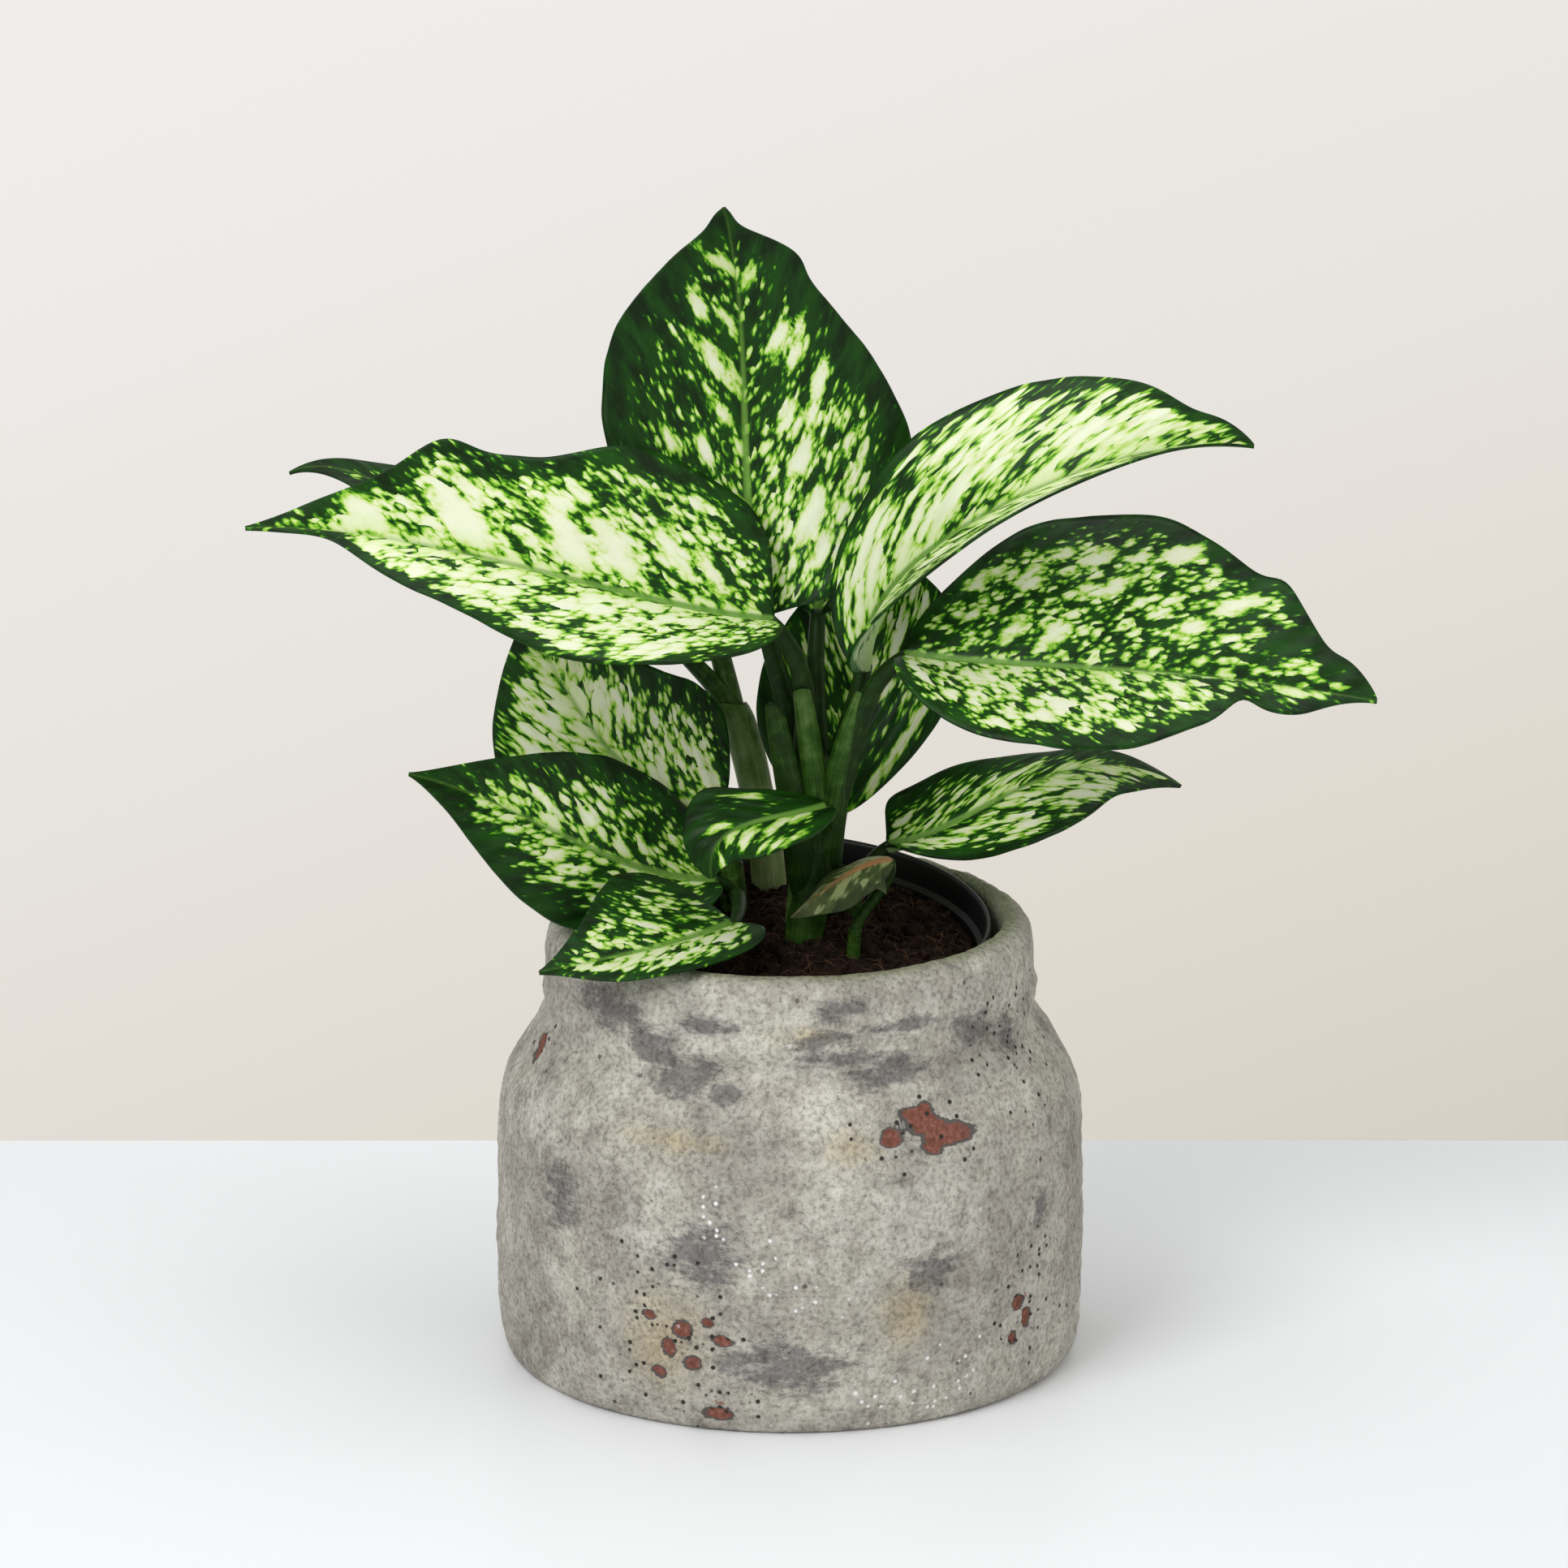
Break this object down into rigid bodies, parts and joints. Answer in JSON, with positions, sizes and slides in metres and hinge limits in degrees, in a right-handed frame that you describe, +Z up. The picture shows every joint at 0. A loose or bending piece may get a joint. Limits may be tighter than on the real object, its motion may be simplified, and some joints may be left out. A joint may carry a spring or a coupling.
{
  "type": "potted houseplant",
  "caption": "Leafy Chinese evergreen with broad speckled leaves on arching stalks, in a plastic nursery pot inside a crusted jar-shaped terracotta planter.",
  "frame": {"origin": "centre of the jar's flat underside, on the jar's own axis", "axes": "+Z up along the jar's axis; -Y towards the plant's front, the side seen in the picture; +X to the right as seen from the front"},
  "size_m": [0.3252, 0.2069, 0.3423],
  "materials": {
    "crusted_terracotta": "matte",
    "black_polypropylene": "satin",
    "coir_and_peat": "matte",
    "green_stem": "satin",
    "variegated_leaf": "satin",
    "yellowing_leaf": "matte"
  },
  "bodies": {
    "root": {"jar": "crusted_terracotta", "nursery_pot": "black_polypropylene", "soil": "coir_and_peat", "stem_main": "green_stem", "stem_left": "green_stem", "shoot_left": "green_stem", "shoot_right": "green_stem", "shoot_front": "green_stem", "leaf_crown": "variegated_leaf", "leaf_left_high": "variegated_leaf", "leaf_left_back": "variegated_leaf", "leaf_back_left": "variegated_leaf", "leaf_left_mid": "variegated_leaf", "leaf_left_low": "variegated_leaf", "leaf_back_centre": "variegated_leaf", "leaf_back_right": "variegated_leaf", "leaf_front": "variegated_leaf", "leaf_front_left": "variegated_leaf", "leaf_right_high": "variegated_leaf", "leaf_right": "variegated_leaf", "leaf_right_low": "variegated_leaf", "leaf_old": "yellowing_leaf"}
  },
  "joints": []
}
